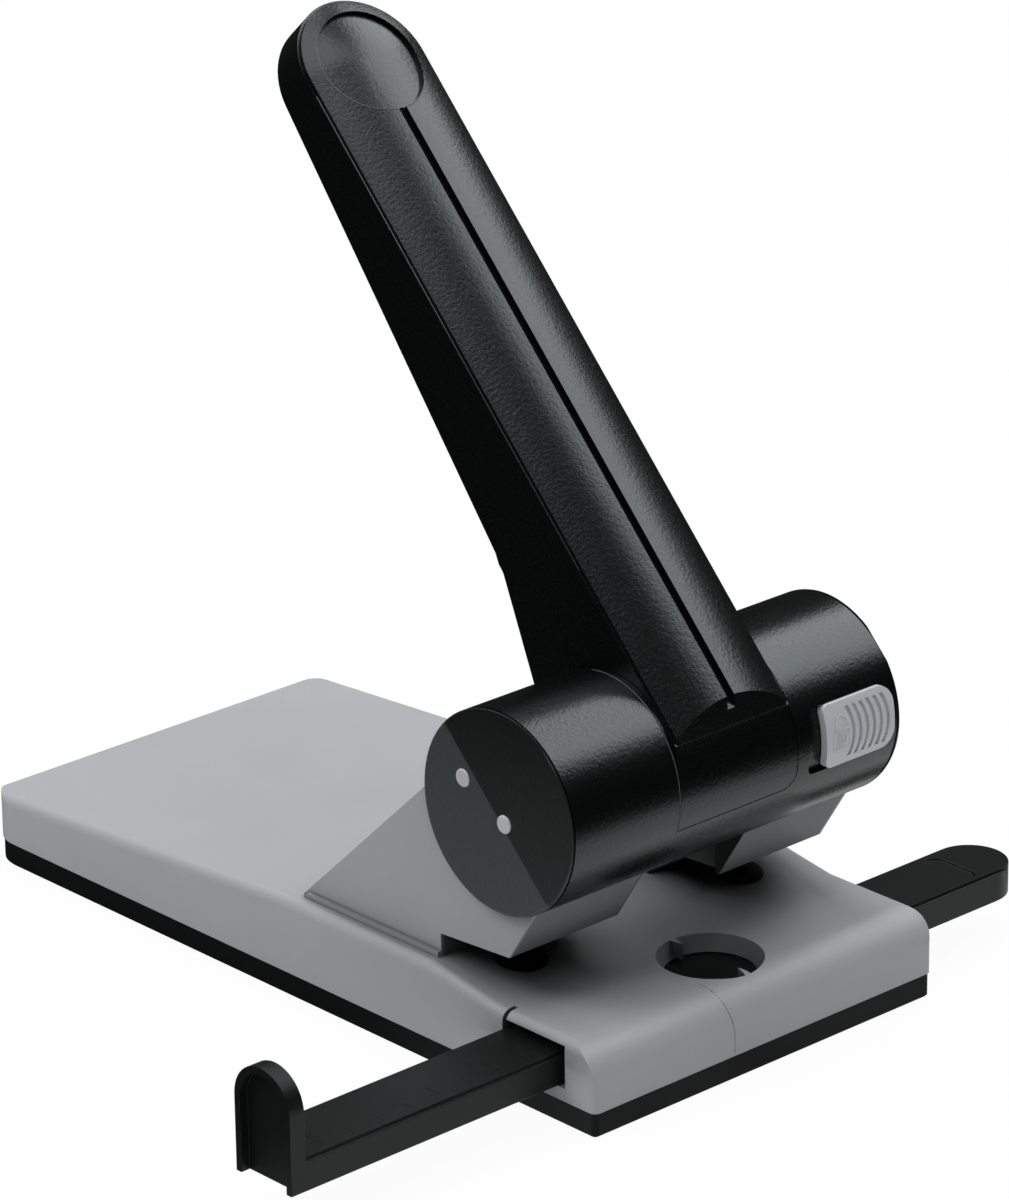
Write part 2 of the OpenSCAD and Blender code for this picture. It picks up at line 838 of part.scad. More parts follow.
// Hub drum: full radius where it shows in the window, less where it turns inside the barrel
module hub_drum() {
    difference() {
        union() {
            axis_bar(hub_low_r, -hub_hw, hub_hw);
            hub_panel();
        }
        for (a = [0, lever_travel]) {
            on_axis() rotate([0, 0, 180 + a]) translate([bolt_r, 0, hub_hw - bolt_reach])
                cylinder(d = bolt_d + 2 * gap, h = bolt_reach + eps);
        }
    }
}

// Plan of the lever in its own frame: straight sides and a round tip
module lever_plan(hw) {
    translate([-hw, -lever_l]) square([2 * hw, 2 * lever_l]);
    translate([0, lever_l]) circle(r = hw);
}

// Space in front of the cut at the lever's front end
module lever_front_cut() {
    side_extrude(-base_w, base_w) polygon([
        [-lever_cut_y - lever_cut_lean, axis_z],
        [-lever_cut_y, axis_z + barrel_r],
        [-lever_cut_y, axis_z + base_rear],
        [-base_rear, axis_z + base_rear],
        [-base_rear, axis_z]
    ]);
}

// Height of the lever's back edge in its own frame, at s along the lever
function back_n(s) = back_mid_n + (back_tip_n - back_mid_n) * (s - back_mid_s) / (heel_s - back_mid_s);

// Side view of the lever in its own frame
module lever_profile() {
    union() {
        polygon([
            [-lever_hw, seam_n],
            [heel_s + tip_heel_r, seam_n],
            [heel_s + tip_heel_r, back_tip_n + tip_heel_r],
            [heel_s, back_tip_n + tip_heel_r],
            [heel_s, back_tip_n],
            [back_mid_s, back_mid_n],
            [back_flare_s, back_flare_n],
            [back_hub_s, back_hub_n],
            [0, 0]
        ]);
        intersection() {
            translate([heel_s, back_tip_n + tip_heel_r]) circle(r = tip_heel_r);
            translate([heel_s - tip_heel_r, back_tip_n]) square([2 * tip_heel_r, tip_heel_r]);
        }
    }
}

// Step in both sides of the lever, at the gusset behind its hub
module gusset_steps() {
    low_n = back_flare_n - lever_wall;
    for (s = [0, 1]) {
        mirror([s, 0, 0]) on_lever() side_extrude(lever_hw - gusset_step, lever_w) polygon([
            [back_mid_s + lever_wall, gusset_n + gusset_rise],
            [gusset_s, gusset_n],
            [gusset_turn_s, gusset_turn_n],
            [gusset_end_s, back_hub_n],
            [gusset_end_s, low_n],
            [back_mid_s + lever_wall, low_n]
        ]);
    }
}

// Hollow back of the lever, between its walls and ribs
module lever_hollow() {
    hw = lever_hw - lever_wall;
    intersection() {
        lever_extrude(hw) translate([web_s, back_hub_n - lever_hw])
            square([lever_l + lever_hw, seam_n - lever_wall - back_hub_n + lever_hw]);
        on_lever() translate([0, 0, -lever_l]) linear_extrude(2 * lever_l) lever_plan(hw);
    }
}

// Puts children on the axes of the cover's screws, in the lever's own frame
module on_cover_screws() {
    on_lever() for (s = cover_screw_s) {
        for (x = [-cover_screw_x, cover_screw_x]) {
            translate([x, s, 0]) children();
        }
    }
}

module lever_arm() {
    color(satin_black) difference() {
        union() {
            hub_drum();
            difference() {
                intersection() {
                    lever_extrude(lever_hw) lever_profile();
                    on_lever() translate([0, 0, -lever_l]) linear_extrude(2 * lever_l) lever_plan(lever_hw);
                }
                lever_hollow();
                gusset_steps();
                lever_front_cut();
            }
            on_lever() for (s = rib_places) {
                translate([-lever_hw + eps, s, back_n(s) + eps])
                    cube([lever_w - 2 * eps, rib_t, seam_n - back_n(s) - 2 * eps]);
            }
        }
        hex_bar(seat, barrel_l);
        on_cover_screws() cylinder(d = cover_screw_d + 2 * fit, h = lever_l);
    }
}

// Crowned solid of the lever's cover, in the lever's own frame
module cover_crown() {
    module section() {
        intersection() {
            translate([0, crown_n - crown_r]) circle(r = crown_r, $fn = 128);
            translate([-cover_hw, seam_n]) square([2 * cover_hw, 2 * crown_h]);
        }
    }
    translate([0, lever_l, 0]) union() {
        rotate([90, 0, 0]) linear_extrude(lever_l + lever_hw) section();
        rotate_extrude(angle = 180) intersection() {
            section();
            translate([0, seam_n]) square([cover_hw, 2 * crown_h]);
        }
    }
}

module lever_cover() {
    color(satin_black) difference() {
        on_lever() difference() {
            cover_crown();
            difference() {
                translate([0, lever_l, seam_n]) cylinder(d = dish_d, h = 2 * crown_h);
                translate([0, 0, -dish_depth]) cover_crown();
            }
            translate([-groove_w / 2, -lever_l, crown_n - groove_depth])
                cube([groove_w, 2 * lever_l - dish_d / 2 + gap, crown_h]);
        }
        lever_front_cut();
        on_cover_screws() cylinder(d = cover_screw_d + 2 * seat, h = seam_n + cover_screw_in + gap);
    }
}

module cover_screws() {
    color(steel) on_cover_screws() union() {
        translate([0, 0, seam_n - lever_wall]) cylinder(d = cover_screw_d, h = lever_wall + cover_screw_in);
        translate([0, 0, seam_n - lever_wall - cover_head_h]) cylinder(d = cover_head_d, h = cover_head_h);
    }
}

// Gap between two teeth of a rack, round the height z
module rack_gap(z) {
    tip = tooth_pitch / 4 + gear_module * tan(pressure_angle) + backlash;
    root = tooth_pitch / 4 - gear_foot * tan(pressure_angle) + backlash;
    side_extrude(0, base_w) polygon([
        [pitch_r - gear_module - seat, z - tip],
        [pitch_r - gear_module - seat, z + tip],
        [pitch_r + gear_foot, z + root],
        [pitch_r + gear_foot, z - root]
    ]);
}

module right_punch() {
    hollow_r = tip_hollow_ratio * punch_d;
    color(steel) difference() {
        union() {
            translate([punch_x, punch_y, punch_tip_z])
                cylinder(d = punch_d, h = collar_z - punch_tip_z + eps);
            translate([punch_x, punch_y, collar_z]) cylinder(d = rack_d, h = collar_h);
            intersection() {
                translate([punch_x, punch_y, collar_z]) cylinder(d = rack_d, h = rack_top_z - collar_z);
                translate([0, pitch_r - gear_module, 0]) cube([base_w, base_rear, 2 * axis_z]);
            }
        }
        for (i = [rack_first : rack_last]) {
            rack_gap(axis_z + i * tooth_pitch);
        }
        translate([0, punch_y, punch_tip_z - hollow_r + tip_hollow]) rotate([0, 90, 0])
            cylinder(r = hollow_r, h = base_w);
    }
}

module left_punch() {
    left() right_punch();
}

module right_guide_bush() {
    color(bronze) translate([punch_x, punch_y, ceiling_z + bush_lift]) difference() {
        cylinder(d = bush_d, h = bush_top - ceiling_z - bush_lift);
        translate([0, 0, -eps]) cylinder(d = punch_d + 2 * fit, h = axis_z);
    }
}

module left_guide_bush() {
    left() right_guide_bush();
}

// Point j of ring i on the wire of a return spring
function spring_point(i, j) = let (
    turn = 360 * spring_coils * i / spring_rings,
    side = 360 * j / spring_sides,
    low = spring_low + wire_d / 2 + seat,
    rise = spring_high - spring_low - wire_d - 2 * seat,
    r = spring_r + wire_d / 2 * cos(side)
) [r * cos(turn), r * sin(turn), low + rise * i / spring_rings + wire_d / 2 * sin(side)];

module right_spring() {
    n = spring_rings;
    m = spring_sides;
    wall = [for (i = [0 : n - 1]) for (j = [0 : m - 1]) let (k = (j + 1) % m, a = i * m, b = (i + 1) * m)
        each [[a + j, a + k, b + k], [a + j, b + k, b + j]]];
    ends = [for (j = [1 : m - 2]) each [[0, j + 1, j], [n * m, n * m + j, n * m + j + 1]]];
    color(steel) translate([punch_x, punch_y, 0]) polyhedron(
        points = [for (i = [0 : n]) for (j = [0 : m - 1]) spring_point(i, j)],
        faces = concat(wall, ends)
    );
}

module left_spring() {
    left() right_spring();
}

module right_die() {
    color(dark_steel) difference() {
        intersection() {
            translate([punch_x, punch_y, die_floor + die_lip]) cylinder(d = die_d, h = deck_z);
            side_extrude(0, base_hw) polygon([
                [floor_foot_y, 0],
                [floor_foot_y, deck_z],
                [slot_back, plateau_z],
                [slot_back, 0]
            ]);
        }
        translate([punch_x, punch_y, die_floor]) cylinder(d = punch_d + 2 * fit, h = deck_z);
        translate([punch_x, punch_y, die_floor])
            cylinder(d = punch_d + 2 * die_relief, h = die_lip + die_h - die_land);
    }
}

module left_die() {
    left() right_die();
}

// Curved grooves in the outer part of the lock button
module finger_grooves() {
    reach = button_grooves * finger_step + finger_bow;
    intersection() {
        translate([button_x1 - finger_margin - reach, button_z - button_h / 2 + finger_margin])
            square([reach + eps, button_h - 2 * finger_margin]);
        union() {
            for (i = [0 : button_grooves - 1]) {
                translate([button_x1 - finger_margin - finger_r - i * finger_step, button_z]) difference() {
                    circle(r = finger_r);
                    circle(r = finger_r - finger_w);
                }
            }
        }
    }
}

module lock_button() {
    color(button_grey) difference() {
        intersection() {
            front_extrude() button_outline(button_x0, 0);
            axis_bar(button_high_r, 0, barrel_l);
        }
        axis_bar(button_low_r, 0, barrel_l);
        difference() {
            front_extrude() finger_grooves();
            axis_bar(button_high_r - finger_depth, 0, barrel_l);
        }
    }
}

module lock_bolt() {
    stem_y = button_low_r - 2 * fit - pow(stem_w / 2, 2) / (2 * button_low_r);
    color(steel) union() {
        translate([bolt_tip, -bolt_r, axis_z]) rotate([0, 90, 0])
            cylinder(d = bolt_d, h = stem_x + stem_l - bolt_tip);
        translate([stem_x, -stem_y, axis_z - stem_w / 2])
            cube([stem_l, stem_y - bolt_r + bolt_d / 2, stem_w]);
    }
}

// Arch of the stop, drawn in by a margin, as (y, z)
module stop_arch(margin) {
    r = rail_w / 2;
    translate([rail_y - r + margin, rail_z]) square([rail_w - 2 * margin, stop_h - r]);
    translate([rail_y, rail_z + stop_h - r]) circle(r = r - margin);
}

module guide_rail() {
    r = rail_w / 2;
    stop_out = -stop_x - stop_t;
    hollow_l = stop_x + rail_right - rail_w - rail_wall;
    color(plastic_black) difference() {
        union() {
            translate([-stop_x - seat, rail_y - r, rail_z]) cube([stop_x + rail_right - r, rail_w, rail_h]);
            translate([rail_right - r - seat, rail_y, rail_z]) cylinder(r = r, h = rail_h);
            side_extrude(stop_out, -stop_x) stop_arch(0);
        }
        translate([-stop_x, rail_y - r - eps, rail_top - rail_lip_h])
            cube([stop_x + rail_right, rail_lip_w + eps, rail_h]);
        translate([-stop_x + rail_wall, rail_y - r + rail_wall, rail_z - eps])
            cube([hollow_l, rail_w - 2 * rail_wall, rail_h - rail_wall + eps]);
        side_extrude(stop_out - eps, stop_out + stop_recess) stop_arch(stop_rim);
        translate([stop_out - eps, rail_y - r + stop_rim, 0])
            cube([stop_recess + eps, rail_w - 2 * stop_rim, stop_h / 2]);
        translate([rail_right, rail_y - r - eps, rail_z]) rotate([0, rail_tip_angle, 0])
            translate([-rail_w, 0, -rail_h]) cube([2 * rail_w, rail_w + 2 * eps, rail_h]);
        translate([rail_oval_x, rail_y, rail_top - rail_oval_depth]) linear_extrude(rail_h) rail_oval();
    }
}

// Oval finger mark across the rail, near its right end
module rail_oval() {
    for (s = [-1, 1]) {
        translate([0, s * (rail_oval_l - rail_oval_w) / 2]) circle(d = rail_oval_w);
    }
    square([rail_oval_w, rail_oval_l - rail_oval_w], center = true);
}

base_body();
bottom_tray();
left_tower();
right_tower();
tower_screws();
barrel_housing();
barrel_screws();
left_end_cap();
right_end_cap();
end_cap_pins();
left_bearing();
right_bearing();
pivot_shaft();
left_pinion();
right_pinion();
left_spacer();
right_spacer();
lever_arm();
lever_cover();
cover_screws();
left_punch();
right_punch();
left_guide_bush();
right_guide_bush();
left_spring();
right_spring();
left_die();
right_die();
lock_button();
lock_bolt();
guide_rail();
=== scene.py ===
"""Looks of a heavy-duty two-hole punch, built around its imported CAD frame."""

import json
import math

import bpy
from mathutils import Matrix, Vector


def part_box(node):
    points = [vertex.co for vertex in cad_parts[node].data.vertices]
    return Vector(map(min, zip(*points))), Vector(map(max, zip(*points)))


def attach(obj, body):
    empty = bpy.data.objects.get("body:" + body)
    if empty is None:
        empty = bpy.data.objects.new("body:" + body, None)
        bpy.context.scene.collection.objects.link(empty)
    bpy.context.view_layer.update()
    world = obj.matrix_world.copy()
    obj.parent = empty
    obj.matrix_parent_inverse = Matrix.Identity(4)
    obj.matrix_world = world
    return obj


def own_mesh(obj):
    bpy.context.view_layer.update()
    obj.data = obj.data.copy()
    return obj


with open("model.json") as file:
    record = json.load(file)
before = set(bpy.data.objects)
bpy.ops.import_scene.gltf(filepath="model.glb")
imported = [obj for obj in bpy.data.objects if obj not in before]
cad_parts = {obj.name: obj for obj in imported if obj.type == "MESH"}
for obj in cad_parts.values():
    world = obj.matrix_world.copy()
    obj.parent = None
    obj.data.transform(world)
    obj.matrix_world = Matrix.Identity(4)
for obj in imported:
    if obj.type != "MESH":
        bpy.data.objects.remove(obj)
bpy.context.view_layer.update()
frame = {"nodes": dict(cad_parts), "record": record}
nodes = frame["nodes"]
scene = bpy.context.scene
scene.view_settings.view_transform = "Standard"

MM = 0.001
JOINTS = {joint["name"]: joint for joint in frame["record"]["behaviour"]["joints"]}
LEVER_AXIS_Z = JOINTS["lever_press"]["pos_m"][2]
BARREL_R = 28 * MM

# Camera, from the photograph's straight edges
CAMERA_PLACE = Vector((-1.020525, -1.058883, 0.701908))
CAMERA_AZIMUTH = math.radians(-42.32)
CAMERA_ELEVATION = math.radians(21.54)
CAMERA_ROLL = math.radians(-0.772)
CAMERA_LENS = 182.17
CAMERA_NEAR = 0.05
SENSOR_LONG_SIDE = 36.0

# Colours, linear
GREY_PAINT = (0.40, 0.415, 0.43)
BLACK_PAINT = (0.0019, 0.0023, 0.0023)
# Light grey of the painted highlights along edges
EDGE_HIGHLIGHT_COLOUR = (0.085, 0.094, 0.094)
CAP_DARK = (0.008, 0.0088, 0.0088)
# Painted light, mixed into the end caps towards their foot and in a step at their crease
CAP_PAINTED_LIGHT = (0.068, 0.077, 0.077)
BLACK_PLASTIC = (0.0075, 0.0084, 0.0084)
RAIL_PLASTIC = (0.008, 0.0092, 0.009)
BUTTON_GREY = (0.58, 0.595, 0.635)
BRIGHT_STEEL = (0.72, 0.73, 0.74)
PIN_STEEL = (0.86, 0.87, 0.88)
SCREW_STEEL = (0.55, 0.55, 0.57)
DARK_STEEL = (0.035, 0.035, 0.038)
BRONZE = (0.50, 0.33, 0.15)

# Tints of highlights
NEUTRAL = (1, 1, 1)
COOL = (0.88, 0.98, 1)

# Slow changes of tone, and the fine grain
SLOW_SIZE = 30 * MM
SLOW_DETAIL = 3
TONE_RANGE = (0.3, 0.7)
GRAIN_DETAIL = 2
GRAIN_ROUGHNESS = 0.6
GRAIN_STRENGTH = 0.6

# Finishes: grain is the height and grain_size the width of the fine grain, and spread the share
# by which the tone wanders
CAST_PAINT = dict(
    colour=GREY_PAINT, roughness=(0.36, 0.52), grain=0.055 * MM, grain_size=0.9 * MM,
    spread=0.02, specular=0.4)
FINISHES = {
    "grey_paint": CAST_PAINT,
    "tower_paint": CAST_PAINT,
    "black_paint": dict(
        colour=BLACK_PAINT, roughness=(0.21, 0.31), grain=0.11 * MM, grain_size=1.0 * MM,
        spread=0.12, sheen=COOL),
    # Painted highlights along edges of the lever and of the barrel's window
    "edge_paint": dict(
        colour=EDGE_HIGHLIGHT_COLOUR, roughness=(0.35, 0.5), grain=0.02 * MM, grain_size=0.6 * MM,
        spread=0.12, sheen=COOL),
    "cap_paint": dict(
        colour=CAP_DARK, roughness=(0.4, 0.54), grain=0.4 * MM, grain_size=1.3 * MM,
        spread=0.12, specular=0.4, sheen=COOL),
    "black_plastic": dict(
        colour=BLACK_PLASTIC, roughness=(0.5, 0.64), grain=0.03 * MM, grain_size=0.7 * MM,
        spread=0.12, specular=0.1),
    "rail_plastic": dict(
        colour=RAIL_PLASTIC, roughness=(0.33, 0.45), grain=0.03 * MM, grain_size=0.7 * MM,
        spread=0.12, specular=0.22, sheen=COOL),
    "button_plastic": dict(
        colour=BUTTON_GREY, roughness=(0.34, 0.46), grain=0.015 * MM, grain_size=0.5 * MM,
        spread=0.03, specular=0.45),
    "bright_steel": dict(
        colour=BRIGHT_STEEL, roughness=(0.2, 0.34), grain=0.01 * MM, grain_size=0.4 * MM,
        spread=0.05, metallic=1.0),
    "pin_steel": dict(
        colour=PIN_STEEL, roughness=(0.6, 0.75), grain=0.06 * MM, grain_size=0.6 * MM,
        spread=0.06, metallic=0.6),
    "screw_steel": dict(
        colour=SCREW_STEEL, roughness=(0.25, 0.42), grain=0.015 * MM, grain_size=0.4 * MM,
        spread=0.08, metallic=1.0),
    "dark_steel": dict(
        colour=DARK_STEEL, roughness=(0.3, 0.5), grain=0.02 * MM, grain_size=0.5 * MM,
        spread=0.15, metallic=1.0),
    "bronze": dict(
        colour=BRONZE, roughness=(0.28, 0.45), grain=0.015 * MM, grain_size=0.6 * MM,
        spread=0.08, metallic=1.0),
}

# Nodes with another finish than their slot's
NODE_FINISHES = {
    "left_end_cap": "cap_paint",
    "right_end_cap": "cap_paint",
    "end_cap_pins": "pin_steel",
    "guide_rail": "rail_plastic",
    "left_tower": "tower_paint",
    "right_tower": "tower_paint",
}

# Crease of the end caps, and its share in the change of their tone, which is painted light
CREASE_ANGLE = math.radians(46)
CREASE_BLUR = 0.15 * MM
CREASE_SHARE = 0.6

# Depth of the hollows in which shade is painted into the grey paint, and the heights over
# which this painted shade sets in, above the shade of the floor
HOLLOW_SAMPLES = 8
HOLLOW_DEPTH = 18 * MM
HOLLOW_SPAN = (16 * MM, 18 * MM)

# The same painted shade for the towers, within their outer sides, and the place of their inner
# sides, which are painted black as shade
TOWER_DEPTH = 110 * MM
TOWER_SPAN = (57 * MM, 56 * MM)
TOWER_INSIDE_SHADE = (19.0 * MM, 18.7 * MM)

# Width of the softened edges of each shown node, and the angle that counts as an edge
SOFT_EDGES = {
    "base_body": (0.6 * MM, 20),
    "bottom_tray": (0.4 * MM, 30),
    "left_tower": (0.8 * MM, 30),
    "right_tower": (0.8 * MM, 30),
    "barrel_housing": (0.35 * MM, 35),
    "left_end_cap": (0.25 * MM, 35),
    "right_end_cap": (0.25 * MM, 35),
    "end_cap_pins": (0.3 * MM, 35),
    "lever_arm": (0.8 * MM, 30),
    "lever_cover": (0.55 * MM, 30),
    "lock_button": (0.4 * MM, 35),
    "guide_rail": (0.4 * MM, 35),
}
EDGE_SEGMENTS = 3
SAME_POINT = 0.001 * MM
SAME_PLANE = math.radians(0.2)

# Parting line over the nose
DECK_Z = 24.8 * MM
NOSE_R = 11 * MM
NOSE_STEPS = 20
NOSE_LINE_TOP_X = -14.5 * MM
NOSE_LINE_FOOT_X = -12 * MM
NOSE_LINE_END = 1 * MM
LINE_R = 0.5 * MM
LINE_PROUD = 0.01 * MM
LINE_SIDES = 32

# Painted highlights: light lines along edges of the lever and of the barrel's window
EDGE_HIGHLIGHT_R = 0.14 * MM
LEVER_TILT = math.radians(46.8)
LEVER_UP = Vector((0, math.cos(LEVER_TILT), math.sin(LEVER_TILT)))
LEVER_OUT = Vector((0, -math.sin(LEVER_TILT), math.cos(LEVER_TILT)))
LEVER_LENGTH = 196.5 * MM
CAST_FROM = 60 * MM
RIM_R = 15.95 * MM
RIM_ARC = (150, 325)
RIM_STEPS = 48
LEDGE_X = 20.1 * MM
LEDGE_SPAN = (46 * MM, 192 * MM)
WINDOW_X = -21.6 * MM
WINDOW_ARC = (80, 205)
WINDOW_STEPS = 40

# Padlock on the lock button
BUTTON_FACE_R = 28.8 * MM
SIGN_R = 0.25 * MM
SIGN_IN = 5.6 * MM
SIGN_DROP = 1.3 * MM
PADLOCK_W = 6.0 * MM
PADLOCK_H = 5.0 * MM
PLATE_SHARE = 0.46
BOW_R = 2.0 * MM
BOW_LEG = 2.0 * MM
BOW_ARC = (180, -20)
BOW_STEPS = 14
KEYHOLE = 0.7 * MM

# Scale on the rail
RAIL_TOP = 19.9 * MM
TICK_R = 0.1 * MM
TICK_STEP = 10 * MM
TICK_INSET = 3 * MM
TICK_LONG = 7 * MM
TICK_SHORT = 4 * MM
FIRST_TICK = -14
LAST_TICK = 1

# Floor, and the share in which the camera sees it as plain white
FLOOR_SIZE = 6.0
FLOOR_COLOUR = (0.85, 0.85, 0.85)
FLOOR_SPREAD = 0.01
FLOOR_ROUGHNESS = 0.9
FLOOR_NOISE_SCALE = 2.0
FLOOR_NOISE_DETAIL = 2
FLOOR_WHITE = 0.96

# Brightness of the floor in gloss, near to and far from two spots in front of the object
FLOOR_IN_GLOSS = (1.0, 0.02)
GLOSS_SPOTS = ((0.09, -0.07, 0), (-0.08, -0.075, 0))
GLOSS_FADE = (0.06, 0.14)

# Softboxes: place, width, height and power
SOFTBOXES = {
    "overhead": ((0.2, 0.8, 1.45), 1.2, 0.9, 11.0),
    "top_front": ((0.12, -0.25, 1.6), 1.0, 0.8, 7.0),
    "right_high": ((1.15, -0.15, 1.2), 1.45, 0.75, 13.9),
    "left_high": ((-0.95, 0.6, 1.35), 1.0, 0.8, 11.5),
    "left_strip": ((-1.15, -0.45, 0.95), 0.35, 0.8, 2.0),
}
LIGHT_AIM = Vector((0.0, 0.06, 0.08))

# Strength of the world, as light and as the camera sees it
WORLD_LIGHT = 0.02
WORLD_SEEN = 1.0


def make_camera():
    """Camera at the photograph's place, with the lens measured on the frame's long side."""
    right = Vector((math.cos(CAMERA_AZIMUTH), math.sin(CAMERA_AZIMUTH), 0))
    back = Vector((
        math.sin(CAMERA_AZIMUTH) * math.cos(CAMERA_ELEVATION),
        -math.cos(CAMERA_AZIMUTH) * math.cos(CAMERA_ELEVATION),
        math.sin(CAMERA_ELEVATION),
    ))
    up = back.cross(right)
    turned_right = right * math.cos(CAMERA_ROLL) + up * math.sin(CAMERA_ROLL)
    turned_up = up * math.cos(CAMERA_ROLL) - right * math.sin(CAMERA_ROLL)
    data = bpy.data.cameras.new("camera")
    data.sensor_fit = "AUTO"
    data.sensor_width = SENSOR_LONG_SIDE
    data.lens = CAMERA_LENS
    data.clip_start = CAMERA_NEAR
    camera = bpy.data.objects.new("camera", data)
    scene.collection.objects.link(camera)
    rotation = Matrix((turned_right, turned_up, back)).transposed()
    camera.matrix_world = Matrix.Translation(CAMERA_PLACE) @ rotation.to_4x4()
    scene.camera = camera


# Materials


def new_material(name):
    """Node material with its Principled shader: (material, nodes, links, shader)."""
    material = bpy.data.materials.new(name)
    material.use_nodes = True
    tree = material.node_tree
    return material, tree.nodes, tree.links, tree.nodes["Principled BSDF"]


def object_noise(tree_nodes, links, scale, detail, roughness=0.5):
    """Noise texture in the object's own coordinates."""
    place = tree_nodes.new("ShaderNodeTexCoord")
    noise = tree_nodes.new("ShaderNodeTexNoise")
    noise.inputs["Scale"].default_value = scale
    noise.inputs["Detail"].default_value = detail
    noise.inputs["Roughness"].default_value = roughness
    links.new(place.outputs["Object"], noise.inputs["Vector"])
    return noise.outputs["Fac"]


def map_range(tree_nodes, links, source, old=(0, 1), new=(0, 1)):
    """Maps an output from one range to another, and keeps it within the new one."""
    ranged = tree_nodes.new("ShaderNodeMapRange")
    ranged.inputs["From Min"].default_value = old[0]
    ranged.inputs["From Max"].default_value = old[1]
    ranged.inputs["To Min"].default_value = new[0]
    ranged.inputs["To Max"].default_value = new[1]
    links.new(source, ranged.inputs["Value"])
    return ranged.outputs["Result"]


def vary_colour(tree_nodes, links, shader, source, colour, spread):
    """Base colour that wanders by a share of itself."""
    ramp = tree_nodes.new("ShaderNodeValToRGB")
    shares = (1 - spread, 1 + spread)
    for element, position, share in zip(ramp.color_ramp.elements, TONE_RANGE, shares):
        element.position = position
        element.color = (*[c * share for c in colour], 1)
    links.new(source, ramp.inputs["Fac"])
    links.new(ramp.outputs["Color"], shader.inputs["Base Color"])


def add_bump(tree_nodes, links, shader, height, distance):
    """Bump from a height output into the shader's normal."""
    bump = tree_nodes.new("ShaderNodeBump")
    bump.inputs["Strength"].default_value = GRAIN_STRENGTH
    bump.inputs["Distance"].default_value = distance
    links.new(height, bump.inputs["Height"])
    links.new(bump.outputs["Normal"], shader.inputs["Normal"])


def finish_material(
        name, colour, roughness, grain, grain_size, spread, metallic=0.0, specular=0.5, sheen=NEUTRAL):
    """Surface with a fine moulded or sprayed grain, and slow changes of tone.

    roughness is (low, high), grain the bump's height and grain_size its width, in metres;
    sheen is the tint of its highlights.
    """
    material, tree_nodes, links, shader = new_material(name)
    shader.inputs["Metallic"].default_value = metallic
    shader.inputs["Specular IOR Level"].default_value = specular
    shader.inputs["Specular Tint"].default_value = (*sheen, 1)
    slow = object_noise(tree_nodes, links, 1 / SLOW_SIZE, SLOW_DETAIL)
    fine = object_noise(tree_nodes, links, 1 / grain_size, GRAIN_DETAIL, GRAIN_ROUGHNESS)
    vary_colour(tree_nodes, links, shader, slow, colour, spread)
    links.new(map_range(tree_nodes, links, fine, new=roughness), shader.inputs["Roughness"])
    add_bump(tree_nodes, links, shader, fine, grain)
    return material


def mix_colour(material, share, other):
    """Mixes another colour, given as a tuple or an output, into a material's base colour."""
    tree_nodes, links = material.node_tree.nodes, material.node_tree.links
    base = tree_nodes["Principled BSDF"].inputs["Base Color"]
    mix = tree_nodes.new("ShaderNodeMix")
    mix.data_type = "RGBA"
    links.new(share, mix.inputs["Factor"])
    links.new(base.links[0].from_socket, mix.inputs["A"])
    if isinstance(other, tuple):
        mix.inputs["B"].default_value = (*other, 1)
    else:
        links.new(other, mix.inputs["B"])
    links.new(mix.outputs["Result"], base)


def along_axis(tree_nodes, links, axis):
    """The object's own coordinate along an axis."""
    place = tree_nodes.new("ShaderNodeTexCoord")
    apart = tree_nodes.new("ShaderNodeSeparateXYZ")
    links.new(place.outputs["Object"], apart.inputs["Vector"])
    return apart.outputs[axis]


def past_span(tree_nodes, links, axis, span):
    """Grows from 0 to 1 over a span of distances from the middle along an axis."""
    away = tree_nodes.new("ShaderNodeMath")
    away.operation = "ABSOLUTE"
    links.new(along_axis(tree_nodes, links, axis), away.inputs[0])
    return map_range(tree_nodes, links, away.outputs["Value"], old=span)


def paint_light_on_caps(material):
    """Paints light on the end caps: lighter towards their foot, with a step at their crease."""
    tree_nodes, links = material.node_tree.nodes, material.node_tree.links
    place = tree_nodes.new("ShaderNodeTexCoord")
    across = tree_nodes.new("ShaderNodeVectorMath")
    across.operation = "DOT_PRODUCT"
    across.inputs[1].default_value = (0, math.sin(CREASE_ANGLE), -math.cos(CREASE_ANGLE))
    links.new(place.outputs["Object"], across.inputs[0])
    at_axis = -LEVER_AXIS_Z * math.cos(CREASE_ANGLE)
    crease = (at_axis - CREASE_BLUR, at_axis + CREASE_BLUR)
    top_to_foot = (LEVER_AXIS_Z + BARREL_R, LEVER_AXIS_Z - BARREL_R)
    height = along_axis(tree_nodes, links, "Z")
    both = tree_nodes.new("ShaderNodeMath")
    both.operation = "ADD"
    links.new(
        map_range(tree_nodes, links, across.outputs["Value"], crease, (0, CREASE_SHARE)), both.inputs[0])
    links.new(map_range(tree_nodes, links, height, top_to_foot, (0, 1 - CREASE_SHARE)), both.inputs[1])
    mix_colour(material, both.outputs["Value"], CAP_PAINTED_LIGHT)


def paint_shade_in_hollows(material, depth, axis, span):
    """Paints shade into a paint in slots and corners of a depth, past a span of an axis."""
    tree_nodes, links = material.node_tree.nodes, material.node_tree.links
    base = tree_nodes["Principled BSDF"].inputs["Base Color"]
    hollow = tree_nodes.new("ShaderNodeAmbientOcclusion")
    hollow.samples = HOLLOW_SAMPLES
    hollow.inputs["Distance"].default_value = depth
    links.new(base.links[0].from_socket, hollow.inputs["Color"])
    mix_colour(material, past_span(tree_nodes, links, axis, span), hollow.outputs["Color"])


def paint_shade_on_towers(material):
    """Paints shade on the towers under the barrel, and paints their inner sides black as shade."""
    paint_shade_in_hollows(material, TOWER_DEPTH, "X", TOWER_SPAN)
    inside = past_span(material.node_tree.nodes, material.node_tree.links, "X", TOWER_INSIDE_SHADE)
    # Painted shade: the inner sides take the black of the plastic
    mix_colour(material, inside, BLACK_PLASTIC)


